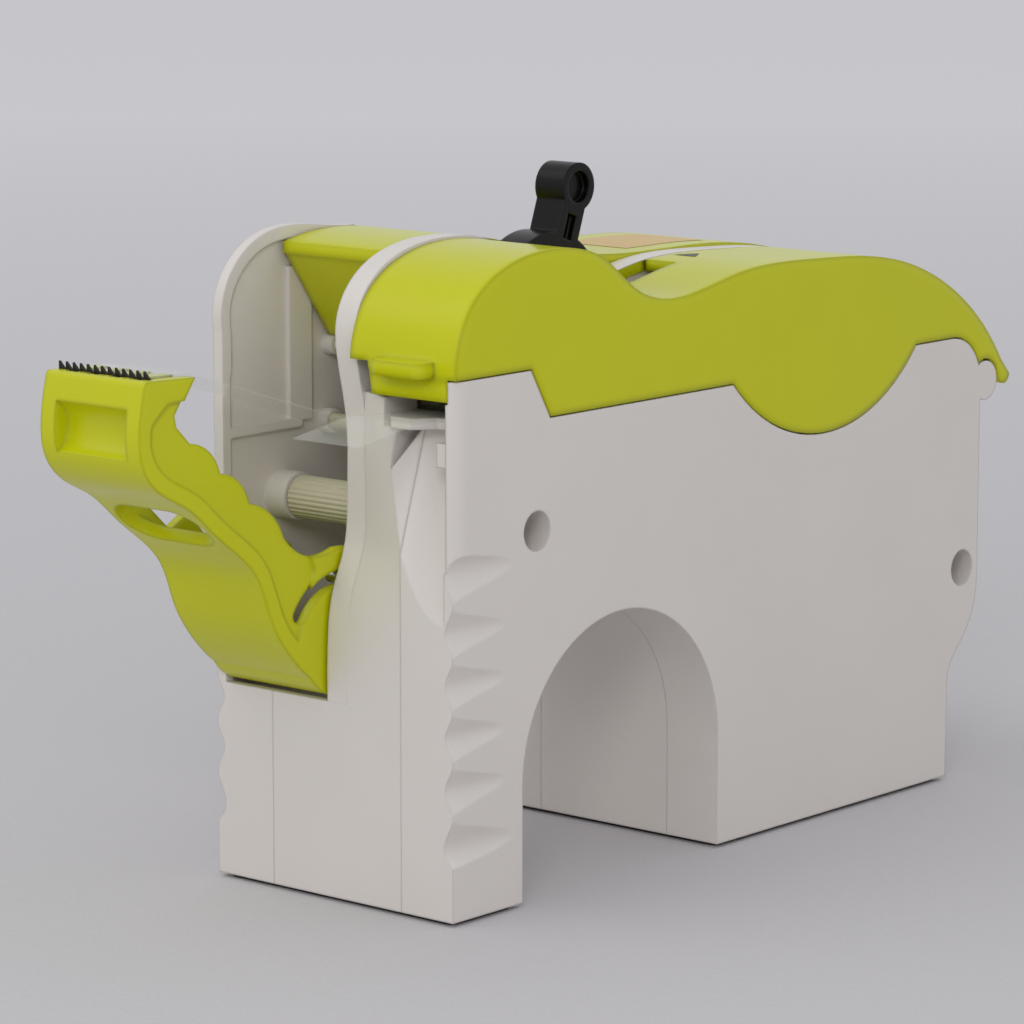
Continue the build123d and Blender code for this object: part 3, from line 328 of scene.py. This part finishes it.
def moulding_group():
    """Normals of a moulded surface: rounded edges and a very faint waviness."""
    group = new_group(
        "td_moulding",
        [("Normal", "NodeSocketVector"), ("Tone", "NodeSocketFloat")],
        [("Edge", "NodeSocketFloat", 0.001), ("Waviness", "NodeSocketFloat", 0.02)],
    )
    nodes, links = group.nodes, group.links
    ins = nodes.new("NodeGroupInput")
    outs = nodes.new("NodeGroupOutput")
    edge = nodes.new("ShaderNodeBevel")
    edge.samples = EDGE_SAMPLES
    coords = nodes.new("ShaderNodeTexCoord")
    noise = nodes.new("ShaderNodeTexNoise")
    noise.inputs["Scale"].default_value = RIPPLE_SCALE
    noise.inputs["Detail"].default_value = RIPPLE_DETAIL
    bump = nodes.new("ShaderNodeBump")
    bump.inputs["Distance"].default_value = RIPPLE_HEIGHT
    tone = nodes.new("ShaderNodeMapRange")
    tone.inputs["To Min"].default_value = TONE_RANGE[0]
    tone.inputs["To Max"].default_value = TONE_RANGE[1]
    links.new(ins.outputs["Edge"], edge.inputs["Radius"])
    links.new(coords.outputs["Object"], noise.inputs["Vector"])
    links.new(noise.outputs["Fac"], bump.inputs["Height"])
    links.new(ins.outputs["Waviness"], bump.inputs["Strength"])
    links.new(edge.outputs["Normal"], bump.inputs["Normal"])
    links.new(noise.outputs["Fac"], tone.inputs["Value"])
    links.new(bump.outputs["Normal"], outs.inputs["Normal"])
    links.new(tone.outputs["Result"], outs.inputs["Tone"])
    return group


def wound_group():
    """Fine rings of wound tape round an axis along X, as a mask."""
    group = new_group(
        "td_wound_rings",
        [("Mask", "NodeSocketFloat")],
        [("Centre", "NodeSocketVector", ROLL_CENTRE)],
    )
    nodes, links = group.nodes, group.links
    ins = nodes.new("NodeGroupInput")
    outs = nodes.new("NodeGroupOutput")
    coords = nodes.new("ShaderNodeTexCoord")
    shift = nodes.new("ShaderNodeVectorMath")
    shift.operation = "SUBTRACT"
    flat = nodes.new("ShaderNodeVectorMath")
    flat.operation = "MULTIPLY"
    flat.inputs[1].default_value = (0.0, 1.0, 1.0)
    length = nodes.new("ShaderNodeVectorMath")
    length.operation = "LENGTH"
    noise = nodes.new("ShaderNodeTexNoise")
    noise.noise_dimensions = "1D"
    noise.inputs["Scale"].default_value = RING_SCALE
    links.new(coords.outputs["Object"], shift.inputs[0])
    links.new(ins.outputs["Centre"], shift.inputs[1])
    links.new(shift.outputs["Vector"], flat.inputs[0])
    links.new(flat.outputs["Vector"], length.inputs[0])
    links.new(length.outputs["Value"], noise.inputs["W"])
    links.new(noise.outputs["Fac"], outs.inputs["Mask"])
    return group


def plain_material(name, colour, roughness, metallic=0.0, alpha=1.0, gloss=PLAIN_GLOSS):
    """A Principled material with constants set on its sockets."""
    material = bpy.data.materials.new(name)
    material.use_nodes = True
    shader = material.node_tree.nodes["Principled BSDF"]
    shader.inputs["Base Color"].default_value = colour
    shader.inputs["Roughness"].default_value = roughness
    shader.inputs["Metallic"].default_value = metallic
    shader.inputs["Alpha"].default_value = alpha
    shader.inputs["Specular IOR Level"].default_value = gloss
    return material


def moulded_material(name, colour, roughness, edge, waviness, gloss=PLAIN_GLOSS):
    """A Principled plastic whose normal and tone come from the moulding group."""
    material = plain_material(name, colour, roughness, gloss=gloss)
    nodes, links = material.node_tree.nodes, material.node_tree.links
    shader = nodes["Principled BSDF"]
    moulding = nodes.new("ShaderNodeGroup")
    moulding.node_tree = bpy.data.node_groups.get("td_moulding") or moulding_group()
    moulding.inputs["Edge"].default_value = edge
    moulding.inputs["Waviness"].default_value = waviness
    tint = nodes.new("ShaderNodeVectorMath")
    tint.operation = "SCALE"
    tint.inputs[0].default_value = colour[:3]
    links.new(moulding.outputs["Tone"], tint.inputs["Scale"])
    links.new(tint.outputs["Vector"], shader.inputs["Base Color"])
    links.new(moulding.outputs["Normal"], shader.inputs["Normal"])
    return material


def dress(names, material):
    """Gives CAD nodes a material."""
    for name in names:
        for slot in NODES[name].material_slots:
            slot.material = material


def deselect():
    """Leaves nothing selected, so an operator touches only what it makes."""
    if bpy.context.object and bpy.context.object.mode != "OBJECT":
        bpy.ops.object.mode_set(mode="OBJECT")
    bpy.ops.object.select_all(action="DESELECT")


def choose(obj):
    """Selects one object and makes it the active one."""
    deselect()
    obj.select_set(True)
    bpy.context.view_layer.objects.active = obj


def settle(obj):
    """Applies an object's place, turn and scale, so that it sits at the origin."""
    choose(obj)
    bpy.ops.object.transform_apply(location=True, rotation=True, scale=True)


def lay_on(obj, cover, lift):
    """Drops a flat piece straight down onto a cover."""
    wrap = obj.modifiers.new("lay", "SHRINKWRAP")
    wrap.target = NODES[cover]
    wrap.wrap_method = "PROJECT"
    wrap.use_project_z = True
    wrap.use_positive_direction = False
    wrap.use_negative_direction = True
    wrap.offset = lift
    choose(obj)
    bpy.ops.object.modifier_apply(modifier=wrap.name)


def area_light(name, light, power):
    """Adds a round soft light."""
    place, turn, size = light
    deselect()
    bpy.ops.object.light_add(type="AREA", location=place)
    lamp = bpy.context.object
    lamp.name = name
    lamp.data.shape = "DISK"
    lamp.data.size = size
    lamp.data.energy = power
    lamp.rotation_euler = [math.radians(angle) for angle in turn]


# ------------------------------------------------------------------ finishes
class TD_OT_finish_body(bpy.types.Operator):
    """Give the shells, frame, pads and rubber rollers their finishes"""

    bl_idname = "td.finish_body"
    bl_label = "Finish Body"
    bl_options = {"REGISTER", "UNDO"}

    def execute(self, context):
        look = context.scene.td_finish
        white = moulded_material(
            "td_white", look.white, WHITE_ROUGHNESS, look.white_edge, WHITE_WAVINESS
        )
        dress(WHITE_NODES, white)
        dress(RUBBER_NODES, plain_material("td_rubber", *RUBBER))
        dress(["ballast_weights"], plain_material("td_iron", *IRON))
        return {"FINISHED"}


class TD_OT_finish_covers(bpy.types.Operator):
    """Give the covers and the trunk arm their glossy green"""

    bl_idname = "td.finish_covers"
    bl_label = "Finish Covers"
    bl_options = {"REGISTER", "UNDO"}

    def execute(self, context):
        look = context.scene.td_finish
        cover = moulded_material(
            "td_green_cover",
            look.green,
            COVER_ROUGHNESS,
            look.green_edge,
            GREEN_WAVINESS,
            gloss=COVER_GLOSS,
        )
        arm = moulded_material(
            "td_green_arm",
            look.green,
            ARM_ROUGHNESS,
            look.green_edge * ARM_EDGE_SHARE,
            GREEN_WAVINESS,
            gloss=ARM_GLOSS,
        )
        dress(["left_cover", "right_cover"], cover)
        dress(["trunk_arm"], arm)
        return {"FINISHED"}


class TD_OT_finish_lever(bpy.types.Operator):
    """Give the lever its black satin"""

    bl_idname = "td.finish_lever"
    bl_label = "Finish Lever"
    bl_options = {"REGISTER", "UNDO"}

    def execute(self, context):
        black = moulded_material(
            "td_black", BLACK, LEVER_ROUGHNESS, LEVER_EDGE, LEVER_WAVINESS, gloss=LEVER_GLOSS
        )
        dress(["feed_lever"], black)
        return {"FINISHED"}


class TD_OT_finish_works(bpy.types.Operator):
    """Give bars, pins, blade, rolls and films their finishes"""

    bl_idname = "td.finish_works"
    bl_label = "Finish Works"
    bl_options = {"REGISTER", "UNDO"}

    def execute(self, context):
        look = context.scene.td_finish
        cream = moulded_material(
            "td_cream", look.cream, CREAM_ROUGHNESS, CREAM_EDGE, CREAM_WAVINESS
        )
        dress(CREAM_NODES, cream)
        dress(STEEL_NODES, plain_material("td_steel", *STEEL))
        dress(["arm_blade"], plain_material("td_blade", *BLADE))
        dress(["left_tape_core", "right_tape_core"], plain_material("td_card", *CARD))
        tape = plain_material("td_tape", *TAPE)
        nodes, links = tape.node_tree.nodes, tape.node_tree.links
        rings = nodes.new("ShaderNodeGroup")
        rings.node_tree = wound_group()
        mix = nodes.new("ShaderNodeMix")
        mix.data_type = "RGBA"
        mix.inputs["A"].default_value = TAPE_DARK
        mix.inputs["B"].default_value = TAPE_PALE
        links.new(rings.outputs["Mask"], mix.inputs["Factor"])
        links.new(mix.outputs["Result"], nodes["Principled BSDF"].inputs["Base Color"])
        dress(["left_tape_roll", "right_tape_roll"], tape)
        film = plain_material("td_film", *FILM, alpha=FILM_ALPHA)
        film.surface_render_method = "BLENDED"
        dress(["left_film", "left_film_feed", "right_film"], film)
        return {"FINISHED"}


# ------------------------------------------------------------------ added pieces
class TD_OT_cover_label(bpy.types.Operator):
    """Lay a blank paper label on the left cover"""

    bl_idname = "td.cover_label"
    bl_label = "Cover Label"
    bl_options = {"REGISTER", "UNDO"}

    def execute(self, context):
        sizes = context.scene.td_label
        deselect()
        across, along = LABEL_CUTS
        bpy.ops.mesh.primitive_grid_add(x_subdivisions=across, y_subdivisions=along, size=1.0)
        label = context.object
        label.name = "cover_label"
        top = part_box("left_cover")[1][2]
        label.scale = (sizes.label_size[0], sizes.label_size[1], 1.0)
        label.location = (sizes.label_centre[0], sizes.label_centre[1], top + DROP)
        settle(label)
        lay_on(label, "left_cover", sizes.lift)
        label.data.materials.append(plain_material("td_label", *PAPER))
        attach(label, "left_cover")
        return {"FINISHED"}


class TD_OT_arrow_mark(bpy.types.Operator):
    """Print a small arrow behind the lever slot on the right cover"""

    bl_idname = "td.arrow_mark"
    bl_label = "Arrow Mark"
    bl_options = {"REGISTER", "UNDO"}

    def execute(self, context):
        sizes = context.scene.td_label
        deselect()
        bpy.ops.mesh.primitive_circle_add(
            vertices=MARK_CORNERS, radius=MARK_RADIUS, fill_type="NGON"
        )
        mark = context.object
        mark.name = "arrow_mark"
        mark.scale = (sizes.mark_size, sizes.mark_size, 1.0)
        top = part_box("right_cover")[1][2]
        mark.location = (sizes.mark_centre[0], sizes.mark_centre[1], top + DROP)
        settle(mark)
        bpy.ops.object.mode_set(mode="EDIT")
        bpy.ops.mesh.select_all(action="SELECT")
        bpy.ops.mesh.quads_convert_to_tris()
        bpy.ops.mesh.subdivide(number_cuts=MARK_CUTS)
        bpy.ops.object.mode_set(mode="OBJECT")
        lay_on(mark, "right_cover", sizes.lift)
        mark.data.materials.append(plain_material("td_ink", *INK))
        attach(mark, "right_cover")
        return {"FINISHED"}


# ------------------------------------------------------------------ stage
def cloth_material(near, far):
    """Finely woven floor cloth, painted lighter with distance from the middle to stand in for
    the brighter light on the far floor.
    """
    cloth = plain_material("td_floor", *CLOTH)
    nodes, links = cloth.node_tree.nodes, cloth.node_tree.links
    shader = nodes["Principled BSDF"]
    coords = nodes.new("ShaderNodeTexCoord")
    weave = nodes.new("ShaderNodeTexNoise")
    weave.inputs["Scale"].default_value = WEAVE_SCALE
    weave.inputs["Detail"].default_value = WEAVE_DETAIL
    bump = nodes.new("ShaderNodeBump")
    bump.inputs["Strength"].default_value = WEAVE_STRENGTH
    bump.inputs["Distance"].default_value = WEAVE_HEIGHT
    links.new(coords.outputs["Object"], weave.inputs["Vector"])
    links.new(weave.outputs["Fac"], bump.inputs["Height"])
    links.new(bump.outputs["Normal"], shader.inputs["Normal"])
    # Painted light: the colour ramps from the near cloth tone to the lighter far tone with
    # distance
    away = nodes.new("ShaderNodeVectorMath")
    away.operation = "LENGTH"
    far_light_ramp = nodes.new("ShaderNodeMapRange")
    far_light_ramp.inputs["From Min"].default_value = FAR_LIGHT_FROM
    far_light_ramp.inputs["From Max"].default_value = FAR_LIGHT_TO
    tone = nodes.new("ShaderNodeMix")
    tone.data_type = "RGBA"
    tone.inputs["A"].default_value = near
    tone.inputs["B"].default_value = far
    links.new(coords.outputs["Object"], away.inputs[0])
    links.new(away.outputs["Value"], far_light_ramp.inputs["Value"])
    links.new(far_light_ramp.outputs["Result"], tone.inputs["Factor"])
    links.new(tone.outputs["Result"], shader.inputs["Base Color"])
    return cloth


class TD_OT_stage(bpy.types.Operator):
    """Set up the pale floor, soft light and camera"""

    bl_idname = "td.stage"
    bl_label = "Stage"
    bl_options = {"REGISTER", "UNDO"}

    def execute(self, context):
        rig = context.scene.td_stage
        deselect()
        bpy.ops.mesh.primitive_plane_add(size=rig.floor_size)
        floor = context.object
        floor.name = "floor"
        floor.data.materials.append(cloth_material(rig.floor_near, rig.floor_far_painted_light))
        world = bpy.data.worlds.new("td_world")
        world.use_nodes = True
        sky = world.node_tree.nodes["Background"]
        sky.inputs["Color"].default_value = SKY
        sky.inputs["Strength"].default_value = rig.sky_strength
        context.scene.world = world
        area_light("key_light", KEY, rig.key_power)
        area_light("fill_light", FILL, rig.fill_power)
        deselect()
        bpy.ops.object.camera_add(
            location=rig.camera_place,
            rotation=(math.radians(90.0) - rig.pitch, 0.0, rig.azimuth),
        )
        camera = context.object
        camera.data.lens = rig.lens
        camera.data.sensor_width = SENSOR_WIDTH
        camera.data.clip_start, camera.data.clip_end = CLIP
        context.scene.camera = camera
        context.scene.view_settings.view_transform = "Standard"
        return {"FINISHED"}


class TD_PT_panel(bpy.types.Panel):
    """Sidebar panel with every step"""

    bl_label = "Tape Dispenser"
    bl_idname = "TD_PT_panel"
    bl_space_type = "VIEW_3D"
    bl_region_type = "UI"
    bl_category = "Tape Dispenser"

    def draw(self, context):
        layout = self.layout
        for group in (context.scene.td_finish, context.scene.td_label, context.scene.td_stage):
            box = layout.box()
            for name in group.__annotations__:
                box.prop(group, name)
        for step in STEPS:
            layout.operator(step.bl_idname)


STEPS = (
    TD_OT_finish_body,
    TD_OT_finish_covers,
    TD_OT_finish_lever,
    TD_OT_finish_works,
    TD_OT_cover_label,
    TD_OT_arrow_mark,
    TD_OT_stage,
)
CLASSES = (TDFinishSettings, TDLabelSettings, TDStageSettings, *STEPS, TD_PT_panel)


def register():
    """Registers the settings, the steps and the panel."""
    for cls in CLASSES:
        bpy.utils.register_class(cls)
    bpy.types.Scene.td_finish = bpy.props.PointerProperty(type=TDFinishSettings)
    bpy.types.Scene.td_label = bpy.props.PointerProperty(type=TDLabelSettings)
    bpy.types.Scene.td_stage = bpy.props.PointerProperty(type=TDStageSettings)


def unregister():
    """Takes everything out again."""
    del bpy.types.Scene.td_finish
    del bpy.types.Scene.td_label
    del bpy.types.Scene.td_stage
    for cls in reversed(CLASSES):
        bpy.utils.unregister_class(cls)


def main():
    """Runs every step round the loaded frame."""
    register()
    bpy.ops.td.finish_body()
    bpy.ops.td.finish_covers()
    bpy.ops.td.finish_lever()
    bpy.ops.td.finish_works()
    bpy.ops.td.cover_label()
    bpy.ops.td.arrow_mark()
    bpy.ops.td.stage()


if __name__ == "__main__":
    main()
